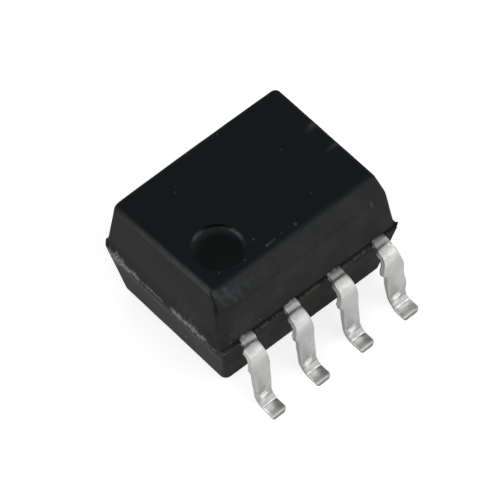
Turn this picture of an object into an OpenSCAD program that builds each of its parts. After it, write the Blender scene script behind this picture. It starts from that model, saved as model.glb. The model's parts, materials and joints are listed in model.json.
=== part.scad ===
// Tall seven-lead gull-wing package with two optically coupled channels.
// The origin is on the plane that the solder feet stand on, under the middle of
// the moulding. X runs along the rows of leads, Y across them and Z up.
// Leads 1 to 4 are on the -Y side, counted towards +X, and leads 5 to 7 come back
// along the +Y side, where the place opposite lead 1 is empty. Each channel has an
// emitter across two leads of the -Y row and a sensor on a finger of the +Y row.
// Both sensors stand on one pad that belongs to lead 5.

/* [Moulding] */
// Length of the moulding along the rows of leads
body_l = 4.94; // [4.7:0.02:5.4]
// Width of the moulding across the rows
body_w = 3.88; // [3.7:0.02:4.3]
// Height of the top face above the plane of the feet
top_z = 3.16; // [3:0.01:3.5]
// Air gap under the moulding
standoff = 0.06; // [0.04:0.01:0.25]
// Lean of the upper walls, in degrees
upper_draft = 6; // [4:0.5:11]
// Lean of the lower walls, in degrees
lower_draft = 10; // [6:0.5:13]
// Step between the two halves where the mould parts
mould_step = 0.045; // [0.02:0.005:0.1]
// Radius of the upright corners
corner_r = 0.1; // [0.08:0.01:0.25]
// Radius of the edges round the top
edge_r = 0.12; // [0.04:0.01:0.15]
// Radius of the edges round the underside
base_r = 0.06; // [0.03:0.01:0.08]
// Bevel along the top edge over leads 1 to 4
bevel = 0.38; // [0.2:0.02:0.5]
// Depth of the trimmed notches between the leads
notch_d = 0.08; // [0.03:0.01:0.12]

/* [Orientation mark] */
// Radius of the round mark near lead 1
mark_r = 0.59; // [0.3:0.01:0.65]
// Depth of its straight wall
mark_wall = 0.03; // [0.01:0.01:0.06]
// Further depth of its dished floor
mark_dish = 0.07; // [0.02:0.01:0.15]
// Distance of the mark from the middle, along the rows
mark_x = 1.43; // [1.2:0.01:1.5]
// Distance of the mark from the middle, across the rows
mark_y = 0.63; // [0.4:0.01:0.66]
// Radius of the ejector mark in the underside
ejector_r = 0.5; // [0.3:0.05:0.8]
// Depth of the ejector mark
ejector_d = 0.04; // [0.02:0.01:0.08]

/* [Leads] */
// Distance from one lead to the next
pitch = 1.27; // [1.2:0.01:1.35]
// Distance over the toes of both rows
lead_span = 6.04; // [5.9:0.02:6.6]
// Width of a lead
lead_w = 0.38; // [0.3:0.01:0.48]
// Thickness of the lead frame
lead_t = 0.15; // [0.12:0.01:0.22]
// Height of the lead frame's upper face where the leads leave the moulding
lead_z = 1.71; // [1.6:0.01:1.85]
// Length of a foot, from its toe to the outside of its heel
foot_l = 0.445; // [0.35:0.005:0.55]
// How much further out the heel is than the knee
heel_out = 0.07; // [0:0.01:0.15]
// Outer radius of the knee
knee_r = 0.36; // [0.28:0.01:0.45]
// Inner radius of the bend above the foot
heel_r = 0.2; // [0.1:0.01:0.25]
// Length of the trimmed tie-bar stub along a lead
stub_l = 0.25; // [0.1:0.01:0.3]
// How far the stub stands out on the side towards lead 1
stub_near = 0.09; // [0.02:0.01:0.12]
// How far it stands out on the other side
stub_far = 0.02; // [0.01:0.01:0.08]

/* [Frame inside] */
// Height step from the leads to the pads, up for the emitters and down for the sensors
pad_step = 0.57; // [0.5:0.01:0.62]
// Distance from the middle to where a finger starts to climb
climb_y = 1.42; // [1.35:0.01:1.5]
// Run of the climb across the rows
climb_run = 0.47; // [0.4:0.01:0.55]
// Inner radius of the bends inside the moulding
finger_r = 0.1; // [0.05:0.01:0.15]
// Gap between a die pad and the end of the finger beside it
finger_gap = 0.15; // [0.1:0.01:0.2]
// Length of a die pad across the rows
pad_l = 1; // [0.9:0.02:1.06]
// How far a die pad reaches past the middle of its channel
pad_reach = 0.5; // [0.48:0.01:0.56]

/* [Dies] */
// Side of the square emitter die
emitter_side = 0.3; // [0.24:0.02:0.36]
// Thickness of the emitter die
emitter_t = 0.2; // [0.12:0.01:0.25]
// Side of the square sensor die
sensor_side = 0.6; // [0.5:0.02:0.64]
// Thickness of the sensor die
sensor_t = 0.25; // [0.15:0.01:0.28]
// Thickness of the conductive adhesive under a die
adhesive_t = 0.02; // [0.01:0.005:0.03]
// How far the adhesive shows round a die
adhesive_rim = 0.02; // [0.01:0.005:0.04]
// Radius of the clear gel that joins emitter and sensor
gel_r = 0.67; // [0.6:0.01:0.7]

/* [Bond wires] */
// Diameter of a bond wire
wire_d = 0.03; // [0.02:0.005:0.05]
// Height of a wire's loop
wire_loop = 0.14; // [0.1:0.01:0.18]
// Diameter of the ball at the die and the stitch at the finger
ball_d = 0.08; // [0.07:0.01:0.1]
// Thickness of the ball and the stitch
ball_t = 0.015; // [0.01:0.005:0.02]

/* [Hidden] */

CHANNELS = ["a", "b"];
BLACK = [0.12, 0.12, 0.125];
TIN = [0.69, 0.69, 0.69];
GOLD = [0.83, 0.66, 0.3];

leads_per_row = 4;
lead_count = 7;         // the last place of the +Y row is empty
fine = 64;              // facets of the larger round shapes
coarse = 32;            // facets of what a hull rounds
bend_steps = 6;         // points along each bend of a lead
wire_steps = 12;        // rings along a bond wire
wire_sides = 8;
shave = 0.02;           // how far a cutting shape passes the face it opens

knee_y = lead_span/2 - foot_l - heel_out;   // outside of the knee
frame_mid = lead_z - lead_t/2;          // middle plane of the lead frame
frame_low = lead_z - lead_t;
rim_x = body_l/2;
rim_y = body_w/2;
wall_x = rim_x - mould_step;            // upper half where it meets the lower one
wall_y = rim_y - mould_step;
upper_lean = tan(upper_draft);
lower_lean = tan(lower_draft);
top_x = wall_x - (top_z - lead_z)*upper_lean;
top_y = wall_y - (top_z - lead_z)*upper_lean;
bevel_z = top_z - bevel;
bevel_y = wall_y - (bevel_z - lead_z)*upper_lean;
foot_x = rim_x - (frame_low - standoff)*lower_lean;
foot_y = rim_y - (frame_low - standoff)*lower_lean;

emitter_face = frame_mid + pad_step - lead_t/2;     // underside of the emitter pads
sensor_face = frame_mid - pad_step + lead_t/2;      // top of the sensor pads
emitter_window = emitter_face - adhesive_t - emitter_t;
sensor_window = sensor_face + adhesive_t + sensor_t;
finger_end_y = pad_l/2 + finger_gap;
stitch_y = finger_end_y + ball_d*1.25;              // where a wire meets its finger
bond_out = sensor_side/2 - ball_d;                  // bond pad of the sensor, from its middle

function row(n) = n <= leads_per_row ? -1 : 1;
function lead_x(n) = pitch*(n <= leads_per_row ? n - 2.5 : 6.5 - n);
function channel_x(c) = pitch*(c == 0 ? -1 : 1);
function carries_die(n) = n == 2 || n == 4 || n == 5;
function sensor_way(c) = c == 0 ? 1 : -1;           // the sensor wires run towards the middle
function unit(v) = v/norm(v);
function left_of(v) = [-v[1], v[0]];
function turn_between(u, v) = atan2(cross(u, v), u*v);

// Points of one side of a bent strip. The middle line passes the corners p with
// the bend radii r, and this side lies d to the left of it.
function strip_side(p, r, d) = [
    for (i = [0:len(p) - 1])
        let (
            u = unit(i == 0 ? p[1] - p[0] : p[i] - p[i - 1]),
            v = unit(i == len(p) - 1 ? p[i] - p[i - 1] : p[i + 1] - p[i]),
            turn = turn_between(u, v),
            bend = abs(turn) < 0.01 ? 0 : sign(turn),
            start = p[i] - u*r[i]*tan(abs(turn)/2),
            centre = start + left_of(u)*bend*r[i]
        )
        each bend == 0
            ? [p[i] + left_of(u)*d]
            : [for (k = [0:bend_steps])
                let (a = turn*k/bend_steps, n = -left_of(u)*bend)
                centre + [n[0]*cos(a) - n[1]*sin(a), n[0]*sin(a) + n[1]*cos(a)]*(r[i] - bend*d)]
];

function reversed(p) = [for (i = [len(p) - 1:-1:0]) p[i]];

// Side view of a lead as (distance from the middle, height), from the toe inwards
function lead_outline(pad_z, inner_y) =
    let (
        p = [
            [lead_span/2, lead_t/2],
            [knee_y + heel_out - lead_t/2, lead_t/2],
            [knee_y - lead_t/2, frame_mid],
            [climb_y, frame_mid],
            [climb_y - climb_run, pad_z],
            [inner_y, pad_z]
        ],
        inner = finger_r + lead_t/2,
        r = [0, heel_r + lead_t/2, knee_r - lead_t/2, inner, inner, 0]
    )
    concat(strip_side(p, r, lead_t/2), reversed(strip_side(p, r, -lead_t/2)));

// One stamped and bent lead with its finger, and its die pad where it has one
module lead(n) {
    side = row(n);
    pad_z = frame_mid - side*pad_step;
    inner_y = carries_die(n) ? 0 : finger_end_y;
    stub_top = lead_z - knee_r;
    // a pad runs from the lead's own edge to past the channel it serves, and that
    // of lead 5 goes on to the other channel
    edge_x = lead_x(n) + lead_w/2;
    far_x = channel_x(side > 0 || lead_x(n) < 0 ? 0 : 1) - pad_reach;
    color(TIN) union() {
        translate([lead_x(n) - lead_w/2, 0, 0])
            rotate([90, 0, 90])
                linear_extrude(lead_w)
                    scale([side, 1]) polygon(lead_outline(pad_z, inner_y));
        translate([lead_x(n) - lead_w/2 - stub_near,
                   side > 0 ? knee_y - lead_t : -knee_y, stub_top - stub_l])
            cube([lead_w + stub_near + stub_far, lead_t, stub_l]);
        if (carries_die(n))
            translate([far_x, -pad_l/2, pad_z - lead_t/2])
                cube([edge_x - far_x, pad_l, lead_t]);
    }
}

module emitter_die(c) {
    color([0.55, 0.5, 0.42])
        translate([channel_x(c), 0, emitter_window + emitter_t/2])
            cube([emitter_side, emitter_side, emitter_t], center = true);
}

module sensor_die(c) {
    color([0.3, 0.32, 0.38])
        translate([channel_x(c), 0, sensor_window - sensor_t/2])
            cube([sensor_side, sensor_side, sensor_t], center = true);
}

module emitter_adhesive(c) {
    side = emitter_side + 2*adhesive_rim;
    color([0.75, 0.75, 0.72])
        translate([channel_x(c), 0, emitter_face - adhesive_t/2])
            cube([side, side, adhesive_t], center = true);
}

module sensor_adhesive(c) {
    side = sensor_side + 2*adhesive_rim;
    color([0.75, 0.75, 0.72])
        translate([channel_x(c), 0, sensor_face + adhesive_t/2])
            cube([side, side, adhesive_t], center = true);
}

// Loop between two bond points. It leaves both upright: along t from 0 to 1 it
// moves by (1 - cos 180t)/2 of the way and stands off by loop*sin 180t.
function loop_point(from, to, loop, t) =
    from + (to - from)*(1 - cos(180*t))/2 + [0, 0, loop*sin(180*t)];

module loop_tube(from, to, loop) {
    across = unit(left_of([to[0] - from[0], to[1] - from[1]]));
    away = [across[0], across[1], 0];
    step = 1/wire_steps;
    rings = [
        for (i = [0:wire_steps])
            let (
                t = i*step,
                p = loop_point(from, to, loop, t),
                ahead = i == wire_steps ? p - [0, 0, sign(loop)] : loop_point(from, to, loop, t + step),
                behind = i == 0 ? p - [0, 0, sign(loop)] : loop_point(from, to, loop, t - step),
                along = i == 0 ? [0, 0, sign(loop)]
                      : i == wire_steps ? [0, 0, -sign(loop)]
                      : unit(ahead - behind),
                other = cross(along, away)
            )
            for (k = [0:wire_sides - 1])
                p + (away*cos(360*k/wire_sides) + other*sin(360*k/wire_sides))*wire_d/2
    ];
    last = wire_steps*wire_sides;
    polyhedron(rings, concat(
        [[for (k = [0:wire_sides - 1]) k]],
        [for (i = [0:wire_steps - 1]) for (k = [0:wire_sides - 1])
            let (a = i*wire_sides, b = (k + 1) % wire_sides)
            each [[a + b, a + k, a + wire_sides + k], [a + b, a + wire_sides + k, a + wire_sides + b]]],
        [[for (k = [wire_sides - 1:-1:0]) last + k]]
    ));
}

// Bond wire with its ball on the die and its stitch on the finger
module bond_wire(ball, stitch, out) {
    color(GOLD) union() {
        translate(ball + [0, 0, out < 0 ? -ball_t : 0])
            cylinder(d = ball_d, h = ball_t, $fn = coarse);
        translate(stitch + [0, 0, out < 0 ? -ball_t : 0])
            cylinder(d = ball_d, h = ball_t, $fn = coarse);
        loop_tube(ball + [0, 0, out*ball_t/2], stitch + [0, 0, out*ball_t/2], out*wire_loop);
    }
}

module emitter_wire(c) {
    bond_wire([channel_x(c), 0, emitter_window],
              [channel_x(c) - pitch/2, -stitch_y, emitter_face], -1);
}

module sensor_wire(c) {
    way = sensor_way(c);
    bond_wire([channel_x(c) + way*bond_out, bond_out, sensor_window],
              [channel_x(c) + way*pitch/2, stitch_y, sensor_face], 1);
}

// What stands on the pads and fingers of one channel
module mounted_parts(c) {
    emitter_die(c);
    sensor_die(c);
    emitter_adhesive(c);
    sensor_adhesive(c);
    emitter_wire(c);
    sensor_wire(c);
}

// Space that the gel of one channel fills between its pads, dies included
module gel_space(c) {
    translate([channel_x(c), 0, frame_mid])
        intersection() {
            sphere(gel_r, $fn = fine);
            cube([3*gel_r, 3*gel_r, emitter_face - sensor_face], center = true);
        }
}

// Clear gel cast round both dies of one channel
module gel(c) {
    color([0.86, 0.88, 0.88, 0.5]) difference() {
        gel_space(c);
        mounted_parts(c);
    }
}

// Disc with a rounded rim, for the corner of a face that points up or down
module edge_disc(r, round_r) {
    rotate_extrude($fn = coarse)
        intersection() {
            translate([r - round_r, 0]) circle(round_r, $fn = coarse/2);
            translate([0, -round_r]) square([r, 2*round_r]);
        }
}

module corners(x, y_low, y_high, r, z) {
    for (sx = [-1, 1]) {
        translate([sx*(x - r), y_high - r, z]) children();
        translate([sx*(x - r), -y_low + r, z]) children();
    }
}

module upper_half() {
    hull() {
        corners(wall_x, wall_y, wall_y, corner_r, lead_z)
            cylinder(r = corner_r, h = shave/4, $fn = coarse);
        // face over leads 5 to 7 reaches the top
        for (sx = [-1, 1])
            translate([sx*(top_x - edge_r), top_y - edge_r, top_z - edge_r])
                sphere(edge_r, $fn = coarse);
        // bevel over leads 1 to 4
        for (sx = [-1, 1]) {
            translate([sx*(top_x + bevel*upper_lean - corner_r), -bevel_y + corner_r, bevel_z - shave/4])
                cylinder(r = corner_r, h = shave/4, $fn = coarse);
            translate([sx*(top_x - edge_r), -bevel_y + bevel + edge_r*tan(22.5), top_z - edge_r])
                sphere(edge_r, $fn = coarse);
        }
    }
}

module lower_half() {
    hull() {
        corners(rim_x, rim_y, rim_y, corner_r, frame_low)
            cylinder(r = corner_r, h = lead_t, $fn = coarse);
        corners(foot_x, foot_y, foot_y, corner_r, standoff + base_r)
            edge_disc(corner_r, base_r);
    }
}

// Notches left between the leads where the tie bars were punched out
module trim_notches() {
    gap = pitch - lead_w;
    for (n = [2:lead_count])
        if (row(n) == row(n - 1))
            translate([(lead_x(n) + lead_x(n - 1) - gap)/2,
                       row(n) > 0 ? rim_y - notch_d : -rim_y - shave, frame_low])
                cube([gap, notch_d + shave, lead_t]);
}

// Round mark in the top face, a short straight wall over a dished floor
module orientation_mark() {
    dish_r = (mark_r*mark_r + mark_dish*mark_dish)/(2*mark_dish);
    translate([-mark_x, -mark_y, top_z - mark_wall]) {
        cylinder(r = mark_r, h = mark_wall + shave, $fn = fine);
        intersection() {
            translate([0, 0, dish_r - mark_dish]) sphere(dish_r, $fn = fine);
            translate([0, 0, -mark_dish - shave])
                cylinder(r = mark_r, h = mark_dish + 2*shave, $fn = fine);
        }
    }
}

module moulding() {
    color(BLACK) difference() {
        union() {
            upper_half();
            lower_half();
        }
        orientation_mark();
        translate([0, 0, standoff - shave])
            cylinder(r = ejector_r, h = ejector_d + shave, $fn = fine);
        trim_notches();
        for (n = [1:lead_count]) lead(n);
        for (c = [0:1]) {
            gel_space(c);
            mounted_parts(c);
        }
    }
}

moulding();
for (n = [1:lead_count])
    lead(n);
for (c = [0:1]) {
    emitter_die(c);
    sensor_die(c);
    emitter_adhesive(c);
    sensor_adhesive(c);
    emitter_wire(c);
    sensor_wire(c);
    gel(c);
}
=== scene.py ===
import json
import math
import bpy
import numpy as np
from mathutils import Matrix, Vector


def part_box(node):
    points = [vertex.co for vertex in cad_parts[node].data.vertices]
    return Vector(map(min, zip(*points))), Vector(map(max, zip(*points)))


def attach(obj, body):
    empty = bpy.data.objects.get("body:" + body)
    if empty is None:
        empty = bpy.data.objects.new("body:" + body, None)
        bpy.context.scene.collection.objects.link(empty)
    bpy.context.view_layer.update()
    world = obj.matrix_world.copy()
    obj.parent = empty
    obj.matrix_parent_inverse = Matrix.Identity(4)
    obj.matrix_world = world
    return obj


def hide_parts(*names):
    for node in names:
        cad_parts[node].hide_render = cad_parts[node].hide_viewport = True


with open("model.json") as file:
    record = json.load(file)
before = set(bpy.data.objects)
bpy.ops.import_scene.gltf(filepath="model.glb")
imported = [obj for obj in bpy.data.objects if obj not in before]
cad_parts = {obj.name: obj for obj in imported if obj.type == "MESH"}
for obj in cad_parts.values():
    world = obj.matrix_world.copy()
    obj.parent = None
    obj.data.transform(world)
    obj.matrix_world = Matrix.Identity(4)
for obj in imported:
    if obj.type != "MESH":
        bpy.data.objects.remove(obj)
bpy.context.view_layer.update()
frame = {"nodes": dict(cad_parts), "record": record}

mm = 0.001
rootBody = "root"
quarterTurn = math.pi/2
print("frame loaded:", len(frame["nodes"]), "nodes")


# Smooth wandering value about 0, mostly within -1 to 1: the mean of sine waves whose
# directions are random and whose lengths lie round the given one.
def wander(x, y, length, seed, count=14):
    rng = np.random.default_rng(seed)
    turn = rng.uniform(0, 2*math.pi, count)
    reach = 2*math.pi/(length*rng.uniform(0.6, 1.7, count))
    start = rng.uniform(0, 2*math.pi, count)
    total = np.zeros(np.broadcast(x, y).shape)
    for a, w, s in zip(turn, reach, start):
        total = total + np.sin(w*(x*math.cos(a) + y*math.sin(a)) + s)
    return total/math.sqrt(count/2)/1.5


# 0 below low, 1 above high, and a smooth S between them
def ease(low, high, value):
    t = np.clip((value - low)/(high - low), 0, 1)
    return t*t*(3 - 2*t)


# 1 between low and high, falling to 0 over soft on either side
def window(low, high, soft, value):
    return ease(low - soft, low + soft, value)*(1 - ease(high - soft, high + soft, value))


# 1 at centre and less to either side, as exp(-((value - centre)/reach)**2)
def bell(value, centre, reach):
    return np.exp(-((value - centre)/reach)**2)


def newObject(name, data):
    item = bpy.data.objects.new(name, data)
    bpy.context.scene.collection.objects.link(item)
    return item


# Mesh of closed rings. points is rings by samples by 3, each ring joins the next with
# quads, and a fan to the mean of the outer ring closes either end. Rings that run
# clockwise as seen from the last one need their faces turned over.
def ringMesh(name, points, marks, turnOver=False):
    rings, samples = points.shape[:2]
    poles = np.stack([points[0].mean(axis=0), points[-1].mean(axis=0)])
    vertices = np.concatenate([points.reshape(-1, 3), poles])
    first = np.arange(samples)
    second = (first + 1) % samples
    here = np.arange(rings - 1)[:, None]*samples
    above = here + samples
    quads = np.stack([here + first, here + second, above + second, above + first], axis=-1).reshape(-1, 4)
    last = (rings - 1)*samples
    pole = np.full(samples, rings*samples)
    fans = [[second, first, pole], [last + first, last + second, pole + 1]]
    fans = np.concatenate([np.stack(fan, axis=-1) for fan in fans])
    if turnOver:
        quads = quads[:, ::-1]
        fans = fans[:, ::-1]
    mesh = bpy.data.meshes.new(name)
    mesh.from_pydata(vertices.tolist(), [], quads.tolist() + fans.tolist())
    mesh.polygons.foreach_set("use_smooth", [True]*len(mesh.polygons))
    for label, values in marks.items():
        flat = np.concatenate([values.reshape(-1), [values[0].mean(), values[-1].mean()]])
        mesh.attributes.new(label, "FLOAT", "POINT").data.foreach_set("value", flat.astype(np.float32))
    mesh.validate()
    return newObject(name, mesh)


mouldingShape = {
    # how far the walls lean in, the step at the parting line and the line's two edges
    "upperLean": math.radians(6), "endLean": math.radians(9.7), "sideLean": math.radians(10.9),
    "step": 0.045*mm, "partingTop": 1.71*mm, "partingLow": 1.6*mm, "rimBreak": 0.006*mm,
    # the plain end's line lies lower in its middle, and two walls lean unevenly
    "endDrop": 0.18*mm, "endSkew": 0.085*mm, "backSkew": 0.05*mm,
    # corners in plan, and how much more the corner beside the first lead is cut back
    "cornerRim": 0.075*mm, "cornerTop": 0.15*mm, "cornerBase": 0.03*mm, "leastCorner": 0.02*mm,
    "frontCorner": 0.2*mm, "frontBase": 0.05*mm,
    # the rim's horn beside the fourth lead, and how far the rim is rubbed down opposite
    "horn": 0.075*mm, "hornOut": 0.0225*mm, "rubbed": 0.02*mm,
    "topEdge": 0.12*mm, "baseEdge": 0.06*mm, "bevel": 0.38*mm, "bevelEdge": 0.07*mm, "bevelBlend": 0.02*mm,
    "notch": 0.06*mm, "edgeBreak": 0.008*mm, "skin": 0.006*mm, "wave": 0.0016*mm,
    "markAt": (-1.43*mm, -0.63*mm), "markRadius": 0.59*mm, "markWall": 0.03*mm, "markDish": 0.07*mm,
    "markLip": 0.012*mm, "ejectorRadius": 0.5*mm, "ejectorDepth": 0.04*mm,
    "samples": (214, 70, 96, 190), "cornerSamples": 10,
}
# Wear in millimetres. Skin is left on the plain end: from and to along Y, middle, half
# height, strength. Scuffs and chips are on the near wall: place along X and up, half
# width, half height, strength. Nicks are in the far end's top edge: place along Y, reach.
mouldingWear = {
    "skin": [(0.78, 1.45, 1.49, 0.09, 1.0), (1.3, 1.84, 1.46, 0.16, 1.0), (0.02, 0.7, 1.5, 0.035, 0.6),
             (-1.36, -0.25, 1.5, 0.08, 1.0), (-1.7, -1.4, 1.5, 0.025, 0.4)],
    "scuffs": [(-2.0, 2.95, 0.34, 0.12, 0.65), (-1.6, 2.92, 0.3, 0.1, 0.15), (-1.1, 2.95, 0.5, 0.1, 0.15),
               (-0.83, 2.17, 0.12, 0.14, 0.5), (-1.88, 2.0, 0.2, 0.2, 0.5)],
    "chips": [(-1.98, 3.07, 0.045, 0.03, 1.1), (-2.1, 3.0, 0.03, 0.03, 0.7),
              (1.86, 2.79, 0.03, 0.045, 1.6), (1.83, 2.68, 0.02, 0.02, 0.8)],
    "nicks": [(0.43, 0.07), (-0.27, 0.04)],
}


# Samples round a section: their places along its sides, from -1 to 1, and their
# normals. A corner is at the end of its side, and only its normal turns.
def outlineSamples(s):
    bend = np.linspace(0, quarterTurn, s["cornerSamples"], endpoint=False)
    sides = []
    for side, count in enumerate(s["samples"]):
        run = np.append(np.linspace(-1, 1, count, endpoint=False), 1 + 0*bend)
        turn = side*quarterTurn + np.append(np.zeros(count), bend)
        x, y = ((run, -1), (1, run), (-run, 1), (-1, -run))[side]
        sides.append(np.stack(np.broadcast_arrays(x, y, np.sin(turn), -np.cos(turn))))
    return np.concatenate(sides, axis=1)


# Heights of the wall's sections, close together at the edges and the parting line, and
# which of them are in the lower half
def wallHeights(s, base, top):
    low, high = s["partingLow"], s["partingTop"]
    turn = np.linspace(0, quarterTurn, 7)
    lowerPart = np.concatenate([
        base + s["baseEdge"]*(1 - np.cos(turn)),
        np.linspace(base + s["baseEdge"], low - 0.3*mm, 14)[1:],
        np.linspace(low - 0.3*mm, low - 0.006*mm, 20)[1:],
        [low, low + 0.004*mm],
        np.linspace(low + 0.004*mm, high - 0.012*mm, 7)[1:],
        [high - 0.003*mm, high],
    ])
    climb = np.linspace(0, quarterTurn, 12)
    upperPart = np.concatenate([
        [high, high + 0.004*mm],
        np.linspace(high + 0.015*mm, high + 0.36*mm, 16),
        np.linspace(high + 0.42*mm, top - s["bevel"] - 0.05*mm, 9),
        np.linspace(top - s["bevel"] - 0.03*mm, top - s["topEdge"] - 0.01*mm, 14),
        top - s["topEdge"]*(1 - np.sin(climb)),
    ])
    heights = np.concatenate([lowerPart, upperPart])
    return heights, np.arange(len(heights)) < len(lowerPart)


# Half sizes and corner radii of the section at each height z. The walls lean in both
# ways from the parting line by the tangent of their lean, and the edges are quarter arcs.
def wallProfile(s, z, lower, base, top, rimX, rimY):
    parting, edge, lean = s["partingTop"], s["bevelEdge"], math.tan(s["upperLean"])
    baseTurn = np.clip((z - base)/s["baseEdge"], 0, 1)
    baseInset = s["baseEdge"]*(1 - np.sqrt(np.clip(1 - (1 - baseTurn)**2, 0, 1)))
    topTurn = np.clip((z - top)/s["topEdge"] + 1, 0, 1)
    topInset = s["topEdge"]*(1 - np.sqrt(np.clip(1 - topTurn**2, 0, 1)))
    drop = np.clip(s["partingLow"] - z, 0, None)
    # the rim's upper edge is broken, so its last section draws in a little
    rimEdge = np.where(lower & (z > parting - 0.001*mm), s["rimBreak"], 0)
    wall = np.where(lower, -baseInset - rimEdge, -s["step"] - np.clip(z - parting, 0, None)*lean)
    sideWall = rimY + wall - drop*math.tan(s["sideLean"])
    # over the bevel the near wall turns in by 45 degrees, and a round edge leads to the top
    bevelLow = top - s["bevel"]
    bevelWall = rimY - s["step"] - (bevelLow - parting)*lean
    bevelLine = bevelWall - (z - bevelLow)
    soft = s["bevelBlend"]
    nearY = np.where(lower, sideWall, -soft*np.logaddexp(-sideWall/soft, -bevelLine/soft))
    arc = np.arccos(np.clip(1 - (top - z)/edge, 0, 1))
    arcFrom = edge*(1 - math.cos(quarterTurn/2))
    inner = bevelWall - s["bevel"] - edge*math.tan(quarterTurn/4)
    nearY = np.where(z > top - arcFrom, inner + edge*np.sin(arc), nearY)
    rise = np.clip((z - parting)/(top - parting), 0, 1)
    fall = drop/(s["partingLow"] - base)
    corner = s["cornerRim"] + (s["cornerTop"] - s["cornerRim"])*rise + s["cornerBase"]*fall
    fromBevel = np.clip((top - z)/s["bevel"], 0, 1)
    cutBack = s["frontCorner"]*ease(0.05*mm, 0.3*mm, z - parting)*fromBevel
    corner = np.clip(corner - topInset - baseInset*0.8, s["leastCorner"], None)
    halfX = rimX + wall - drop*math.tan(s["endLean"]) - topInset
    return halfX, nearY, sideWall - topInset, corner, cutBack + s["frontBase"]*fall, rise, topTurn


# Moulding skin along the parting line of the plain end. Each patch is 1 in its middle
# and falls off by the height from there over a half height that wanders.
def endSkin(y, z, onEnd):
    skin = np.zeros(y.shape)
    for first, last, middle, halfHeight, strength in mouldingWear["skin"]:
        fromMiddle = z - middle*mm - 0.02*mm*wander(y, 0, 0.3*mm, 31)
        over = halfHeight*mm*(1 + 0.4*wander(y, 0.5*z, 0.3*mm, 33))
        under = halfHeight*mm*(1 + 0.5*wander(y, 0.5*z, 0.17*mm, 34))
        reach = np.where(fromMiddle > 0, fromMiddle/over, -fromMiddle/under)
        reach = reach + 0.22*wander(y + z, z, 0.07*mm, 35)
        patch = window(first*mm, last*mm, 0.07*mm, y + 0.3*fromMiddle)*ease(1.3, 0.55, reach)
        skin = np.maximum(skin, strength*patch)
    return skin*onEnd*ease(-1.3, 0.1, wander(y, z*1.6, 0.09*mm, 15))


# The walls, rings by samples. Every section is a rounded oblong: half sizes go by the
# height, and a sample keeps its place along its side. Faults are then added as a push
# along the normal and a shift in height.
def mouldingWalls(s, base, top, rimX, rimY):
    alongX, alongY, normalX, normalY = outlineSamples(s)
    heights, lower = wallHeights(s, base, top)
    halfX, near, far, corner, cutBack, rise, topTurn = (
        values[:, None] for values in wallProfile(s, heights, lower, base, top, rimX, rimY))
    radius = corner + cutBack*ease(-0.3, -1, alongX)*ease(-0.3, -1, alongY)
    farShare = (alongY + 1)/2
    x = alongX*(halfX - radius) + radius*normalX
    y = -(near - radius)*(1 - farShare) + (far - radius)*farShare + radius*normalY
    z = np.repeat(heights[:, None], x.shape[1], axis=1)

    # trimmed notches between the leads of each row, in the thickness of the lead frame
    push = np.zeros(x.shape)
    inBand = (lower & (heights > s["partingLow"] + 0.002*mm))[:, None]
    reach = (leadShape["pitch"] - leadShape["width"])/2
    ragged = 1 + 0.1*wander(x, z, 0.09*mm, 3)
    for first in leadNumbers[:-1]:
        if leadRow(first) == leadRow(first + 1):
            middle = (leadMiddle(first) + leadMiddle(first + 1))/2
            inside = (np.abs(x - middle) < reach) & (y*leadRow(first) > rimY*0.9) & inBand
            push -= np.where(inside, s["notch"]*ragged, 0)
    # the rim stands up at the corner beside the fourth lead and is rubbed down opposite
    diagonal = np.clip(-2*normalX*normalY, 0, 1)
    atHorn = diagonal*(normalX > 0)*np.where(lower, ease(1.62*mm, 1.71*mm, heights), 0)[:, None]
    atRubbed = diagonal*(normalX < 0)*np.where(lower, ease(1.5*mm, 1.71*mm, heights), 0)[:, None]
    push += s["hornOut"]*atHorn - s["rubbed"]*atRubbed
    z = z + s["horn"]*atHorn
    # the lower half's edge is broken, and the plain end's parting line hangs
    edgeZone = np.where(lower, bell(heights, s["partingLow"], 0.03*mm), 0)[:, None]
    push += edgeZone*s["edgeBreak"]*wander(x + y, z, 0.07*mm, 5)
    onEnd = np.clip(-normalX, 0, 1)
    sink = s["endDrop"]*(1 + 0.14*wander(y, 0, 0.5*mm, 8))*window(-1.8*mm, 1.72*mm, 0.14*mm, y)
    z = z - sink*onEnd*ease(0.95*mm, 1.6*mm, z)*(1 - ease(1.72*mm, 2.3*mm, z))
    # some of the skin fills the step between the halves and is smeared up the wall
    flashAndGlint = endSkin(y, z, onEnd)
    above = np.where(lower, 0, heights - s["partingTop"])[:, None]
    filled = window(-1.85*mm, 1.8*mm, 0.12*mm, y)*onEnd
    push += s["step"]*filled*np.where(lower[:, None], 0, 1 - ease(0, 0.3*mm, above))
    smear = window(-1.15*mm, -0.42*mm, 0.1*mm, y)*np.exp(-above/(0.16*mm))*(~lower)[:, None]*onEnd
    smear = smear*ease(-1.3, 0.9, wander(y, z, 0.2*mm, 17))
    push += s["skin"]*flashAndGlint + s["wave"]*wander(x + y, z, 0.8*mm, 21)
    # the plain end leans out a little more towards its far corner, the far wall less
    x -= s["endSkew"]*rise*onEnd*farShare
    y = y - s["backSkew"]*rise*np.clip(normalY, 0, 1)*((1 - alongX)/2)**2
    fade = np.clip(1 - topTurn**2, 0, 1)
    return {
        "x": x + push*normalX*fade, "y": y + push*normalY*fade, "z": z, "heights": heights, "lower": lower,
        "normalX": normalX, "normalY": normalY, "topTurn": topTurn, "flashAndGlint": np.maximum(flashAndGlint, 0.3*smear),
    }


# Smooth spots on the near wall: a product of two bells each, times its strength
def wallSpots(spots, x, z):
    total = 0
    for atX, atZ, wide, tall, strength in spots:
        total = total + strength*bell(x/mm, atX, wide)*bell(z/mm, atZ, tall)
    return total
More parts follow.
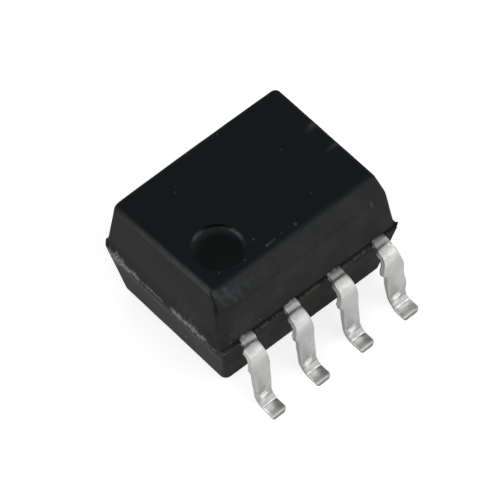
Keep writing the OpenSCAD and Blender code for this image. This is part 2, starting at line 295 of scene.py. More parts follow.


# Where the walls are pale from wear and painted highlights, and dark from marks and painted shade, for their
# material
def wallMarks(s, wall):
    x, y, z, heights, lower = (wall[label] for label in ("x", "y", "z", "heights", "lower"))
    onSide = np.clip(-wall["normalY"], 0, 1)
    onEnd = np.clip(-wall["normalX"], 0, 1)
    along, up = y/mm, z/mm
    low, high = s["partingLow"], s["partingTop"]
    # painted highlight along the fillet over the plain end and on the near bevel, then scuffs and chips
    fillet = window(2.98, 3.13, 0.02, up)*onEnd*window(-1.55, 1.6, 0.2, along)
    pale = fillet*(0.7*ease(2.2, -1.4, along) + 0.4*np.clip(wander(y, z, 0.12*mm, 51), 0, 1))
    # painted highlight: the near bevel is made paler
    pale += 0.14*onSide*ease(2.76, 2.82, up)
    ragged = ease(-1.3, 0.9, wander(x, z, 0.22*mm, 52))
    scuffs = wallSpots(mouldingWear["scuffs"], x, z)*ragged
    pale += onSide*(scuffs + wallSpots(mouldingWear["chips"], x, z))
    # the ragged lip of the lower half
    lip = (lower & (heights > low - 0.03*mm) & (heights < low + 0.015*mm))[:, None]
    pale += lip*onSide*(0.2 + 2.4*ease(-0.5, 0.6, wander(x, z, 0.06*mm, 53)))
    for nickAt, reach in mouldingWear["nicks"]:
        pale += 0.9*bell(along, nickAt, reach)*np.clip(wall["normalX"], 0, 1)*ease(3.09, 3.16, up)
    # the line down the front corner, painted shade in the gap between the halves, a scratch on the bevel
    cornerLine = bell(onEnd, 0.965, 0.04)*(wall["normalY"] < -0.1)*window(2.05, 3.1, 0.08, up)
    cornerLine = cornerLine*ease(-2.4, 0.0, wander(z, 0, 0.2*mm, 54))
    dark = (0.4 + 0.6*ease(2.4, 2.75, up))*cornerLine
    gap = ((~lower & (heights < high + 0.03*mm)) | (lower & (heights > low + 0.002*mm)))[:, None]
    # painted shade in the recessed band between the halves
    dark += 0.55*gap*onSide*ease(-2.36, -2.1, x/mm)
    scratch = bell(up, 2.8, 0.014)*ease(-0.8, 0.8, wander(x, 0, 0.35*mm, 59))
    dark += 0.3*scratch*onSide
    # painted shadow of the parting step along the plain end, where no skin covers it
    seamLine = 1.545*mm + 0.015*mm*wander(along, 0, 0.2, 57)
    seamShadow = bell(z, seamLine, 0.014*mm)*onEnd*ease(-0.6, 0.5, wander(along, 0, 0.14, 58))
    dark += seamShadow*(0.75*window(-0.1, 0.8, 0.1, along) + 0.4*window(-1.75, -0.2, 0.1, along))
    return {
        # painted shade: top darkens the whole top face and under darkens the near wall's lower half; top also
        # keeps the dust on the top
        "flashAndGlint": wall["flashAndGlint"], "top": ease(0.55, 1, wall["topTurn"]) + 0*x,
        "under": onSide*lower[:, None]*(z < low + 0.003*mm), "pale": pale, "dark": dark,
    }


# Painted light on the round mark: painted highlights on its rim towards +X and +Y and on its far floor,
# painted shadow on the rim between them, and painted shade on its floor towards the near
# corner. turnAt is the direction from its middle, depthIn the share of its radius.
def roundMarkPaintedLight(s, places, turnAt, depthIn):
    degrees = np.degrees(turnAt)
    alongRight = bell(degrees, 4, 26)*bell(depthIn, 0.94, 0.065)
    alongLeft = bell(degrees, 103, 18)*bell(depthIn, 0.945, 0.05)
    dish = ease(0.5, 1.0, depthIn)*np.clip(np.cos(turnAt - math.radians(75)), 0, 1)
    rimLightBreakup = 0.25 + 0.75*ease(-1.6, 0.6, wander(3*turnAt, 8*depthIn, 1.0, 56))
    between = np.exp(-((degrees - 52)/38)**4 - ((depthIn - 1.0)/0.05)**4)
    markX, markY = s["markAt"]
    fromFront = np.hypot(places[:, 0] - markX + 0.05*mm, places[:, 1] - markY + 0.09*mm)/s["markRadius"]
    return {
        "pale": (1.7*alongRight + 1.6*alongLeft)*rimLightBreakup + 0.24*dish,
        # painted highlight: the lit rim also gets the flash colour
        "flashAndGlint": 0.3*(alongRight + alongLeft)**2*rimLightBreakup,
        "dark": np.maximum(between, 0.45*ease(0.98, 0.75, fromFront)),
    }


# The whole moulding, one ring for each horizontal section: from the middle of the
# underside out, up the walls, and in over the top to the middle of the round mark
def buildMoulding():
    s = mouldingShape
    low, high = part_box("moulding")
    base, top = low[2], high[2]
    wall = mouldingWalls(s, base, top, high[0], high[1])
    draw = np.linspace(0, 1, 12)[:, None, None]
    walls = np.stack([wall["x"], wall["y"]], axis=1)

    # top face: the outline draws in to the lip of the mark, which leads to its floor
    markAt = np.array(s["markAt"])[:, None]
    towards = (walls[-1] - markAt)/np.hypot(*(walls[-1] - markAt))
    onTop = walls[-1]*(1 - draw[1:]) + (markAt + (s["markRadius"] + s["markLip"])*towards)*draw[1:]
    lipTurn = np.linspace(0, quarterTurn, 5)[1:]
    lipRadius = s["markRadius"] + s["markLip"]*(1 - np.sin(lipTurn))
    lipZ = top - s["markLip"]*(1 - np.cos(lipTurn))
    floorRadius = s["markRadius"]*np.concatenate([[1, 0.995], np.linspace(0.97, 0.04, 18)])
    floorZ = top - s["markWall"] - s["markDish"]*(1 - (floorRadius/s["markRadius"])**2)
    markRadii = np.concatenate([lipRadius, floorRadius])[:, None]
    inMark = markAt + markRadii[:, None]*towards

    # underside: a shallow round recess, then out to the edge
    radius = s["ejectorRadius"]*np.array([0.05, 0.3, 0.6, 0.85, 0.98, 1, 1.0, 1.02])
    recessZ = base + s["ejectorDepth"]*np.array([1, 1, 1, 1, 1, 0.85, 0.12, 0])
    under = radius[:, None, None]*(walls[0]/np.hypot(*walls[0]))
    outwards = under[-1]*(1 - draw[1:-1]) + walls[0]*draw[1:-1]

    across = np.concatenate([under, outwards, walls, onTop, inMark])
    before = len(under) + len(outwards)
    inWall = slice(before, before + len(walls))
    z = base + 0*across[:, 0]
    z[:len(under)] = recessZ[:, None]
    z[inWall] = wall["z"]
    z[inWall.stop:] = top
    z[-len(inMark):] = np.concatenate([lipZ, floorZ])[:, None]
    marks = {label: np.zeros(z.shape) for label in ("flashAndGlint", "top", "under", "pale", "dark")}
    # painted shade: the top face and the round mark are marked for the darker top colour
    marks["top"][before:] = 1
    for label, values in wallMarks(s, wall).items():
        marks[label][inWall] = values
    turnAt = np.arctan2(towards[1], towards[0])
    for label, values in roundMarkPaintedLight(s, inMark, turnAt, markRadii/s["markRadius"]).items():
        marks[label][-len(inMark):] = values
    return ringMesh("mouldingSkin", np.stack([across[:, 0], across[:, 1], z], axis=-1), marks)


leadNumbers = range(1, 8)
leadShape = {
    "pitch": 1.27*mm, "width": 0.38*mm, "thickness": 0.15*mm, "footLength": 0.445*mm, "heelOut": 0.07*mm,
    "kneeRadius": 0.38*mm, "heelRadius": 0.2*mm, "edge": 0.03*mm, "step": 0.012*mm,
    # inside the moulding: the bend up or down to a pad, the pads and the ends of the rest
    "climbAt": 1.42*mm, "climbRun": 0.47*mm, "padStep": 0.57*mm, "innerRadius": 0.1*mm, "innerStep": 0.05*mm,
    "withPad": (2, 4, 5), "padLength": 1*mm, "padPast": 0.5*mm, "padGap": 1e-7, "fingerEnd": 0.65*mm,
    # the toe's corners in plan and its round end, the stub of the tie bar, the waisted root
    "toeCorner": 0.09*mm, "nearToeCorner": 0.0315*mm, "toeEdge": 0.035*mm,
    "stubHigh": 1.45*mm, "stubLow": 1.17*mm, "stubFar": 0.012*mm, "rootIn": 0.03*mm,
    "nearSpread": 0.012*mm, "sway": 0.006*mm, "burr": 0.04*mm,
    # what the forming tool and the rolls left on the outer face
    "crown": 0.02*mm, "crease": 0.016*mm, "creaseReach": 0.03*mm, "clampAt": 2.09*mm, "clampDepth": 0.004*mm,
    "clampReach": 0.04*mm, "coinAt": 2.7*mm, "coinDepth": 0.008*mm, "dent": 0.0008*mm, "tear": 0.012*mm,
}
# What every lead has of its own, in millimetres: four of the near row, then the far row
leadOwn = {
    "rootRise": (0.05, 0.065, 0.03, 0.035, 0.03), "rootShift": (0.045, 0.02, 0.005, 0.01, 0),
    "stubReach": (0.075, 0.08, 0.095, 0.13, 0.07), "toeReach": (0.03, 0.025, 0.014, 0.004, 0.01),
    "farSpread": (0.028, 0.02, 0.014, 0.068, 0.015), "sideStep": (0.012, -0.006, -0.014, -0.028, 0),
    "footShift": (0.028, 0.016, 0.008, 0.004, 0), "footSpread": (0, 0, 0, 0.02, 0),
    "neckSpread": (0, 0, 0, 0.03, 0),
}
# How clearly its marks show, in the same order: the painted highlight band and the painted highlight spot at
# the knee, the sheared edge, the dark gap in that edge, the bare line across the toe
leadFinish = {
    "frost": (0.2, 0.16, 0.3, 0.26, 0.2), "kneeSpot": (0, 0, 0, 0.9, 0), "shear": (0.3, 0.9, 0.9, 0.9, 0.9),
    "edgeGap": (0, 0.6, 0.6, 0.6, 0.6), "bareLine": (0.4, 1.3, 0.4, 1.3, 0.4),
}
# Marks across the outer face, most of them painted highlights and painted shade: how far out they are in
# millimetres, reach, strength.
# The darker spots on the foot also have a place and a reach across, as shares of the half width.
leadWear = {
    "kneeLine": (2.15, 0.015, 0.16), "kneeShade": (2.06, 0.06, 0.45), "heelLine": (2.697, 0.012, 0.9),
    "footSheen": (2.74, 0.09, 1.3), "toeLine": (2.965, 0.014, 0.1),
    "footDarkSpots": [(2.86, 0.06, 0.6, 0.5, 0.45), (2.95, 0.05, 0.95, 0.35, 0.4)],
}


def leadRow(number):
    return -1 if number <= 4 else 1


def leadMiddle(number):
    return leadShape["pitch"]*(number - 2.5 if number <= 4 else 6.5 - number)


# Middle line of a bent strip: straight runs between the corners, and an arc of the
# given radius at each. Points are spaced by step, and each has its rightward normal,
# which is outwards on a lead that is followed from its toe.
def bentLine(corners, radii, steps):
    places, normals = [], []
    at = corners[0]
    for i in range(1, len(corners)):
        towards = corners[i] - corners[i - 1]
        towards = towards/np.hypot(*towards)
        left = np.array([-towards[1], towards[0]])
        turn = 0
        if i < len(corners) - 1:
            onwards = corners[i + 1] - corners[i]
            onwards = onwards/np.hypot(*onwards)
            turn = math.atan2(towards[0]*onwards[1] - towards[1]*onwards[0], towards @ onwards)
        cut = radii[i]*math.tan(abs(turn)/2)
        end = corners[i] - towards*cut
        count = max(2, int(np.hypot(*(end - at))/steps[i]) + 1)
        part = np.linspace(0, 1, count, endpoint=turn == 0)[:, None]
        places.append(at + (end - at)*part)
        normals.append(np.repeat(-left[None], count, axis=0))
        at = end
        if turn != 0:
            count = max(6, int(abs(turn)*radii[i]/steps[i]) + 1)
            angle = np.linspace(0, turn, count, endpoint=False)[:, None]
            centre = end + left*math.copysign(radii[i], turn)
            spoke = end - centre
            across = np.array([-spoke[1], spoke[0]])
            places.append(centre + spoke*np.cos(angle) + across*np.sin(angle))
            normals.append(towards*np.sin(angle) - left*np.cos(angle))
            at = centre + spoke*math.cos(turn) + across*math.sin(turn)
    return np.concatenate(places), np.concatenate(normals)


# The rings of one lead from its toe in: where each is on the middle line, its normal,
# and the length passed. They crowd in the toe's round end, and the pad's own rings
# start at a step in width, so the pad is as long as its size says.
def leadPath(s, span):
    half = s["thickness"]/2
    frameMid = mouldingShape["partingTop"] - half
    knee = span - s["footLength"] - s["heelOut"]
    padZ = frameMid - s["row"]*s["padStep"]
    padEdge = s["padLength"]/2
    carriesPad = s["number"] in s["withPad"]
    corners = np.array([
        [span, half], [knee + s["heelOut"] - half, half], [knee - half, frameMid], [s["climbAt"], frameMid],
        [s["climbAt"] - s["climbRun"], padZ], [-padEdge if carriesPad else s["fingerEnd"], padZ],
    ])
    inner = s["innerRadius"] + half
    radii = [0, s["heelRadius"] + half, s["kneeRadius"] - half, inner, inner, 0]
    line, normal = bentLine(corners, radii, [s["step"]]*4 + [s["innerStep"]]*2)
    passed = np.concatenate([[0], np.cumsum(np.hypot(*np.diff(line, axis=0).T))])
    toeAt = s["toeEdge"]*(1 - np.cos(np.linspace(0, quarterTurn, 8)[:-1]))
    keep = passed > s["toeEdge"] + 0.3*s["step"]
    line = np.concatenate([line[0] - toeAt[:, None]*[1, 0], line[keep]])
    normal = np.concatenate([np.repeat(normal[:1], len(toeAt), axis=0), normal[keep]])
    passed = np.concatenate([toeAt, passed[keep]])
    jump = len(line)
    if carriesPad:
        jump = np.abs(line[:, 0] - padEdge).argmin()
        line[jump] = [padEdge, padZ]
        line = np.insert(line, jump, [padEdge + s["padGap"], padZ], axis=0)
        normal = np.insert(normal, jump, normal[jump], axis=0)
        passed = np.insert(passed, jump, passed[jump])
    out, height = line[:, :1], line[:, 1:]
    inFrame = height > frameMid - 0.05*mm
    return {
        "out": out, "height": height, "normal": normal, "passed": passed[:, None], "knee": knee,
        "outside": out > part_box("moulding")[1][1] - 0.2*mm, "inPad": np.arange(len(line))[:, None] > jump,
        "inFrame": inFrame, "root": window(1.7*mm, 2.1*mm, 0.07*mm, out)*inFrame, "frameMid": frameMid,
    }


# Half widths of every ring, towards -X and towards +X. The waist, the stub, the toe's
# corners and the pad are all in them.
def leadWidths(s, path):
    out, height, passed, outside = (path[label] for label in ("out", "height", "passed", "outside"))
    number = s["number"]
    # the waist of the root, and the trimmed stub of the tie bar
    minusSide = s["width"]/2 - s["rootIn"]*path["root"]*(1 + 0.2*wander(out, height, 0.3*mm, 40 + number))
    plusSide = np.full(out.shape, s["width"]/2)
    stub = ease(s["stubLow"] - 0.16*mm, s["stubLow"] + 0.1*mm, height)
    stub = stub*(1 - ease(s["stubHigh"] - 0.16*mm, s["stubHigh"] + 0.2*mm, height))
    stub = stub*(outside & (out > path["knee"] - 0.2*mm))
    minusSide += s["stubReach"]*stub*(0.9 + 0.1*wander(out, height, 0.12*mm, 60 + number))
    plusSide += s["stubFar"]*stub
    # the strip sways, and it was squeezed wider below the knee
    minusSide += (s["nearSpread"] + s["sway"]*wander(passed, 0, 0.6*mm, 80 + number))*outside
    plusSide += s["farSpread"]*window(0.3*mm, 1.32*mm, 0.18*mm, height)*outside
    plusSide += s["neckSpread"]*window(0.1*mm, 0.7*mm, 0.15*mm, height)*outside
    footSpread = s["footSpread"]*(height < 0.4*mm)*ease(2.6*mm, 2.72*mm, out)
    # corners of the toe in plan, as quarter arcs, taken from either array in place
    for half, corner in ((plusSide, s["toeCorner"]), (minusSide, s["nearToeCorner"])):
        toeIn = np.clip(1 - passed/corner, 0, 1)
        half += footSpread - corner*(1 - np.sqrt(1 - toeIn**2))
    channel = -1 if s["row"] > 0 or s["middle"] < 0 else 1
    padSide = s["middle"] - (channel*s["pitch"] - s["padPast"])
    return np.where(path["inPad"], padSide, minusSide), plusSide


# Samples round a lead's section, four sides with round corners: their places as shares
# of the half width and half height, and the outward directions of the rounding
def sectionSamples():
    flat = np.linspace(-1, 1, 27)
    side = np.linspace(-1, 1, 6)
    bend = np.linspace(0, quarterTurn, 6)[1:-1]
    halves = [
        [flat, 1 + 0*bend, 1 + 0*side, 1 + 0*bend], [1 + 0*flat, 1 + 0*bend, -side, -1 + 0*bend],
        [0*flat, np.sin(bend), 1 + 0*side, np.cos(bend)], [1 + 0*flat, np.cos(bend), 0*side, -np.sin(bend)],
    ]
    # the second half of the section is the first one turned over
    return [np.concatenate(half + [-part for part in half]) for half in halves]


# How far every sample is along X, and how far it is lifted along the middle line's normal
def leadSection(s, path):
    out, height, passed, outside = (path[label] for label in ("out", "height", "passed", "outside"))
    across, upwards, outAcross, outUp = sectionSamples()
    minusSide, plusSide = leadWidths(s, path)
    # the stamped edge leans, so the inner face is a little wider than the outer one
    burr = s["burr"]*outside*ease(2.02*mm, 2.2*mm, out)*ease(0.1*mm, 0.9*mm, height)*(1 - upwards)/2
    x = across*(np.where(across > 0, plusSide, minusSide + burr) - s["edge"]) + outAcross*s["edge"]
    x += s["footShift"]*(1 - ease(0.1*mm, 1.3*mm, height))*outside
    x += s["rootShift"]*path["root"] + s["sideStep"]*ease(0.3*mm, 0.9*mm, height)*outside
    x += s["middle"]
    half = s["thickness"]/2
    toeRound = np.clip(1 - passed/s["toeEdge"], 0, 1)
    upper = half - s["toeEdge"]*(1 - np.sqrt(1 - toeRound**2))
    lift = upwards*(np.where(upwards > 0, upper, half) - s["edge"]) + outUp*s["edge"]
    # the outer face is crowned across, clamped near the knee and coined on the foot, and
    # the inside of the heel is a crease, deeper than the bend of the middle line
    lift -= s["crown"]*across**2*outside*(upwards > 0)
    coin = ease(s["coinAt"] - 0.008*mm, s["coinAt"] + 0.008*mm, out)*(height < 0.3*mm)
    fromCrease = passed - passed[np.abs(out - s["coinAt"]).argmin()]
    pressed = s["clampDepth"]*bell(out, s["clampAt"], s["clampReach"])*path["inFrame"] + s["coinDepth"]*coin
    pressed = pressed + s["crease"]*np.exp(-np.abs(fromCrease)/s["creaseReach"])
    # the root rises to the moulding, torn where it meets it, and the rolled strip is dented
    rise = s["rootRise"]*(1 - ease(1.9*mm, 2.12*mm, out))
    torn = s["tear"]*wander(x, 0, 0.05*mm, 120 + s["number"])*(1 - ease(1.86*mm, 1.97*mm, out))
    lift += ((rise + torn)*outside - pressed)*(upwards > 0.5)
    dents = s["dent"]*wander(x, passed, 0.22*mm, 100 + s["number"])
    return x, lift + dents*outside*(upwards > -0.5), across, upwards


# Painted highlights and painted shade on the outer face, darker spots, sheared edges and bare
# copper, for the leads' material. Places out and up are in millimetres, and side
# is a share of the half width.
def leadMarks(s, path, x, across, upwards):
    number = s["number"]
    outside, height, passed = path["outside"], path["height"], path["passed"]
    out = path["out"]/mm + 0.01*wander(x, 0, 0.1*mm, 160 + number)
    side = across + 0.12*wander(0, passed, 0.1*mm, 140 + number)
    up = height/mm
    face = (upwards > 0.5)*outside
    onEdge = (np.abs(upwards) < 0.75)*outside

    def mark(label):
        place, reach, strength = leadWear[label]
        return strength*bell(out, place, reach)

    # knee and root: painted highlights at the knee, painted shade at the root and where the knee begins
    high = up > path["frameMid"]/mm - 0.35
    lighter = mark("kneeLine")*ease(-0.5, 0.5, side)
    lighter += s["frost"]*window(2.13, 2.33, 0.015, out)*ease(0.95, 0.75, side)
    lighter = high*(lighter + s["kneeSpot"]*bell(out, 2.2, 0.06)*bell(side, 0.8, 0.2))
    darker = high*(0.95*window(1.7, 2.0, 0.03, out) + mark("kneeShade")*ease(1.3, 0.6, np.abs(side)))
    # heel: a painted highlight oval over painted shade in the crease and round the oval, and a painted
    # highlight along the edge of the coined foot
    ovalHighlight = np.exp(-((up - 0.32 - 0.1*side)/0.11)**4 - ((side + 0.25)/0.55)**4)*(out < 2.69)
    lighter += 1.4*ovalHighlight + mark("heelLine")*(up < 0.3)
    darker += (0.55*bell(up, 0.19, 0.03) + 0.25*(up < 0.48)*(1 - ovalHighlight))*(out < 2.69)
    # foot: painted highlights behind the coined edge and along one side, darker spots on the other
    foot = out > 2.72
    lean = out - 0.05*side
    lighter += foot*(0.25*ease(2.95, 2.8, out) + mark("footSheen")*ease(0.9, -0.3, side))
    lighter += foot*(0.15*ease(0.2, -0.8, side) + mark("toeLine")*ease(1.0, 0.3, side))
    for place, reach, sidePlace, sideReach, strength in leadWear["footDarkSpots"]:
        darker += foot*strength*bell(lean, place, reach)*bell(side, sidePlace, sideReach)
    gap = s["edgeGap"]*onEdge*(upwards < 0.3)*window(1.1, 1.27, 0.03, up)
    sheared = s["shear"]*onEdge*ease(2.0, 2.2, out)
    sheared = sheared + 0.3*foot*face*ease(2.99, 2.9, out)*ease(2.78, 2.9, out + 0.06*side)
    # copper at the cut end of the toe, and in a broken line across it
    streak = bell(lean, 2.935, 0.016)*ease(-0.7, 0.3, side)
    streak = streak*(0.5 + 0.5*wander(x, side, 0.05*mm, 190 + number))
    cut = np.clip(1 - passed/(0.6*s["toeEdge"]), 0, 1)*np.where(upwards > 0.5, 0.4, 1)
    cut = cut + s["bareLine"]*foot*face*np.clip(streak, 0, 1)
    return {"sheared": sheared, "cut": cut, "lighter": lighter*face, "darker": darker*face + gap}


# Smaller copies of an end ring, which close that end
def endRings(ring, shares):
    centre = ring.mean(axis=0)
    return np.stack([centre + (ring - centre)*share for share in shares])


# One lead: a rounded oblong section carried along its middle line from the toe in to
# its finger or pad
def buildLead(number):
    s = {**leadShape, "number": number, "row": leadRow(number), "middle": leadMiddle(number)}
    for values, unit in ((leadOwn, mm), (leadFinish, 1)):
        s.update({label: five[min(number, 5) - 1]*unit for label, five in values.items()})
    low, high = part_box("lead_%d" % number)
    path = leadPath(s, max(abs(low[1]), abs(high[1])))
    x, lift, across, upwards = leadSection(s, path)
    y = path["out"] + path["normal"][:, :1]*lift + s["toeReach"]*ease(2.72*mm, 2.95*mm, path["out"])
    z = path["height"] + path["normal"][:, 1:]*lift
    points = np.stack([x, y*s["row"], z], axis=-1)
    toe, tail = endRings(points[0], (0.15, 0.4, 0.7, 0.9)), endRings(points[-1], (0.9, 0.5))
    marks = leadMarks(s, path, x, across, upwards)
    around = ((len(toe), len(tail)), (0, 0))
    marks = {label: np.pad(values, around) for label, values in marks.items()}
    marks["cut"][:len(toe)] = 1
    return ringMesh("leadSkin%d" % number, np.concatenate([toe, points, tail]), marks, s["row"] > 0)


# A group takes a vector and numbers, each with a usual value, and gives numbers
def newGroup(name, numbers, results):
    group = bpy.data.node_groups.new(name, "ShaderNodeTree")
    sockets = group.interface
    sockets.new_socket("Vector", in_out="INPUT", socket_type="NodeSocketVector")
    for label, value in numbers.items():
        sockets.new_socket(label, in_out="INPUT", socket_type="NodeSocketFloat").default_value = value
    for label in results:
        sockets.new_socket(label, in_out="OUTPUT", socket_type="NodeSocketFloat")
    return group, group.nodes.new("NodeGroupInput").outputs, group.nodes.new("NodeGroupOutput")


# Gives a node's inputs a number, a colour, or what comes out of another node
def feed(node, values):
    for label, value in values.items():
        if isinstance(value, bpy.types.NodeSocket):
            node.id_data.links.new(value, node.inputs[label])
        else:
            node.inputs[label].default_value = (*value, 1) if isinstance(value, tuple) else value


def mathNode(tree, operation, first, second, clamp=False):
    node = tree.nodes.new("ShaderNodeMath")
    node.operation = operation
    node.use_clamp = clamp
    feed(node, {0: first, 1: second})
    return node.outputs[0]


def noiseNode(tree, vector, scale, detail, roughness):
    node = tree.nodes.new("ShaderNodeTexNoise")
    feed(node, {"Vector": vector, "Scale": scale, "Detail": detail, "Roughness": roughness})
    return node.outputs["Fac"]


def rangeNode(tree, value, fromLow, fromHigh, toLow=0.0, toHigh=1.0, smooth=False):
    node = tree.nodes.new("ShaderNodeMapRange")
    node.interpolation_type = "SMOOTHSTEP" if smooth else "LINEAR"
    feed(node, {"Value": value, "From Min": fromLow, "From Max": fromHigh, "To Min": toLow, "To Max": toHigh})
    return node.outputs["Result"]


# A mix node's colours are its inputs 6 and 7 and its output 2
def mixColour(tree, factor, first, second):
    node = tree.nodes.new("ShaderNodeMix")
    node.data_type = "RGBA"
    feed(node, {0: factor, 6: first, 7: second})
    return node.outputs[2]


# Grain of a surface: a height and a wandering tone from noise at two sizes
def grainGroup():
    usual = {"Fine": 30000.0, "Coarse": 2500.0, "Share": 0.4}
    group, given, out = newGroup("surfaceGrain", usual, ("Height", "Tone"))
    fine = noiseNode(group, given["Vector"], given["Fine"], 4.0, 0.6)
    coarse = noiseNode(group, given["Vector"], given["Coarse"], 3.0, 0.55)
    height = mathNode(group, "ADD", fine, mathNode(group, "MULTIPLY", coarse, given["Share"]))
    feed(out, {"Height": height, "Tone": coarse})
    return group


# Small pale specks: the crests of one noise where a second, larger one allows them
def speckGroup():
    usual = {"Size": 9000.0, "Spread": 1200.0, "Level": 0.7}
    group, given, out = newGroup("paleSpecks", usual, ("Mask",))
    small = noiseNode(group, given["Vector"], given["Size"], 2.0, 0.5)
    large = noiseNode(group, given["Vector"], given["Spread"], 1.0, 0.5)
    both = mathNode(group, "ADD", small, mathNode(group, "MULTIPLY", large, 0.25))
    over = mathNode(group, "SUBTRACT", both, given["Level"])
    feed(out, {"Mask": mathNode(group, "MULTIPLY", over, 14.0, clamp=True)})
    return group


# Flecks of dust at given places of the top, each a round spot that noise breaks up
def fleckGroup():
    group, given, out = newGroup("topFlecks", {}, ("Mask",))
    broken = rangeNode(group, noiseNode(group, given["Vector"], 26000.0, 2.0, 0.6), 0.4, 0.56, 0.1)
    level = group.nodes.new("ShaderNodeVectorMath")
    level.operation = "MULTIPLY"
    feed(level, {0: given["Vector"]})
    level.inputs[1].default_value = (1.0, 1.0, 0.0)
    total = 0.0
    for x, y, reach, strength in topFlecks:
        apart = group.nodes.new("ShaderNodeVectorMath")
        apart.operation = "DISTANCE"
        feed(apart, {0: level.outputs["Vector"]})
        apart.inputs[1].default_value = (x*mm, y*mm, 0.0)
        shown = rangeNode(group, apart.outputs["Value"], reach*mm, 0.3*reach*mm, 0.0, strength)
        total = mathNode(group, "MAXIMUM", shown, total)
    feed(out, {"Mask": mathNode(group, "MULTIPLY", total, broken)})
    return group


# A scuff and dust beside the top's near edge: x, y and reach in millimetres, strength
topFlecks = [
    (-0.64, -1.27, 0.05, 0.7), (-0.57, -1.27, 0.045, 0.7), (-0.5, -1.27, 0.045, 0.7),
    (-0.43, -1.26, 0.04, 0.5), (-0.2, -1.24, 0.04, 0.5), (0.16, -1.26, 0.055, 0.8),
    (-0.75, -0.97, 0.045, 0.5), (-1.24, -1.25, 0.035, 0.5), (-1.5, -1.22, 0.035, 0.4),
]

grain = grainGroup()
specks = speckGroup()
flecks = fleckGroup()


def newMaterial(name):
    material = bpy.data.materials.new(name)
    material.use_nodes = True
    tree = material.node_tree
    shader = tree.nodes["Principled BSDF"]
    place = tree.nodes.new("ShaderNodeTexCoord").outputs["Object"]
    return material, tree, shader, place


def useGroup(tree, group, place, values):
    node = tree.nodes.new("ShaderNodeGroup")
    node.node_tree = group
    feed(node, {"Vector": place, **values})
    return node.outputs


# What every kind of material ends in: colour, roughness, and a bump from a height
def finishShader(tree, shader, colour, rough, height, distance):
    bump = tree.nodes.new("ShaderNodeBump")
    feed(bump, {"Distance": distance, "Height": height})
    feed(shader, {"Base Color": colour, "Roughness": rough, "Normal": bump.outputs["Normal"]})


def readMark(tree, label):
    node = tree.nodes.new("ShaderNodeAttribute")
    node.attribute_name = label
    return node.outputs["Fac"]


epoxyLook = {
    "grain": {"Fine": 26000.0, "Coarse": 1500.0, "Share": 0.5},
    "specks": {"Size": 11000.0, "Spread": 900.0, "Level": 0.87},
    # top and under are painted shade; the darkest colour is also painted shade, and the pale colour also
    # painted highlight
    "dark": (0.0225, 0.0232, 0.0235), "light": (0.031, 0.0318, 0.032), "top": (0.011, 0.0131, 0.0141),
    "under": (0.0112, 0.0114, 0.0098), "pale": (0.066, 0.069, 0.073), "darkMarksAndShade": (0.0015, 0.0016, 0.0016),
    "flashAndGlint": (0.25, 0.25, 0.246), "speck": (0.09, 0.092, 0.094), "fleck": (0.13, 0.135, 0.135),
    "roughLow": 0.49, "roughHigh": 0.63, "specular": 0.025, "bump": 0.0028*mm,
}
tinLook = {
    "grain": {"Fine": 22000.0, "Coarse": 4200.0, "Share": 0.8},
    # bright paints the highlights, and grey paints shade and the foot's darker spots
    "light": (0.43, 0.435, 0.425), "dull": (0.396, 0.4, 0.391), "bright": (0.86, 0.86, 0.85),
    "grey": (0.19, 0.19, 0.186), "copper": (0.19, 0.165, 0.155), "shear": (0.27, 0.272, 0.262),
    "torn": (0.08, 0.08, 0.078),
    "roughLow": 0.34, "roughHigh": 0.48, "bump": 0.001*mm,
}


# Matt moulding epoxy: fine grain, slow changes of tone, a scuffed parting line, and painted shade and painted
# highlights
def epoxyMaterial():
    look = epoxyLook
    material, tree, shader, place = newMaterial("blackEpoxy")
    texture = useGroup(tree, grain, place, look["grain"])
    tone = rangeNode(tree, texture["Tone"], 0.32, 0.68, smooth=True)
    colour = mixColour(tree, tone, look["dark"], look["light"])
    # painted shade: darker low on the near wall and over the whole top face
    colour = mixColour(tree, readMark(tree, "under"), colour, look["under"])
    colour = mixColour(tree, readMark(tree, "top"), colour, look["top"])
    cloud = noiseNode(tree, place, 9000.0, 4.0, 0.7)
    # pale is scuffs, chips, nicks and the lip, and also painted highlights on the fillet, the bevel and the
    # round mark; dark is a scratch and the corner line, and also painted shade in the gap, the seam and the
    # round mark
    pale = readMark(tree, "pale")
    paleWearAndLight = mathNode(tree, "MULTIPLY", pale, rangeNode(tree, cloud, 0.3, 0.65, 0.45, 1.15), clamp=True)
    colour = mixColour(tree, paleWearAndLight, colour, look["pale"])
    colour = mixColour(tree, readMark(tree, "dark"), colour, look["darkMarksAndShade"])
    speckMask = useGroup(tree, specks, place, look["specks"])["Mask"]
    speck = mathNode(tree, "MULTIPLY", speckMask, rangeNode(tree, readMark(tree, "dark"), 0.2, 0.4, 1.0, 0.0))
    colour = mixColour(tree, speck, colour, look["speck"])
    fleckMask = useGroup(tree, flecks, place, {})["Mask"]
    dust = mathNode(tree, "MULTIPLY", fleckMask, readMark(tree, "top"), clamp=True)
    colour = mixColour(tree, dust, colour, look["fleck"])
    rub = noiseNode(tree, place, 16000.0, 4.0, 0.65)
    flashAndGlint = readMark(tree, "flashAndGlint")
    broken = mathNode(tree, "MULTIPLY", flashAndGlint, rangeNode(tree, rub, 0.3, 0.55, 0.35))
    colour = mixColour(tree, broken, colour, look["flashAndGlint"])
    rough = rangeNode(tree, texture["Tone"], 0.3, 0.7, look["roughLow"], look["roughHigh"])
    feed(shader, {"Specular IOR Level": look["specular"]})
    height = mathNode(tree, "ADD", texture["Height"], mathNode(tree, "MULTIPLY", broken, 1.5))
    finishShader(tree, shader, colour, rough, height, look["bump"])
    return material


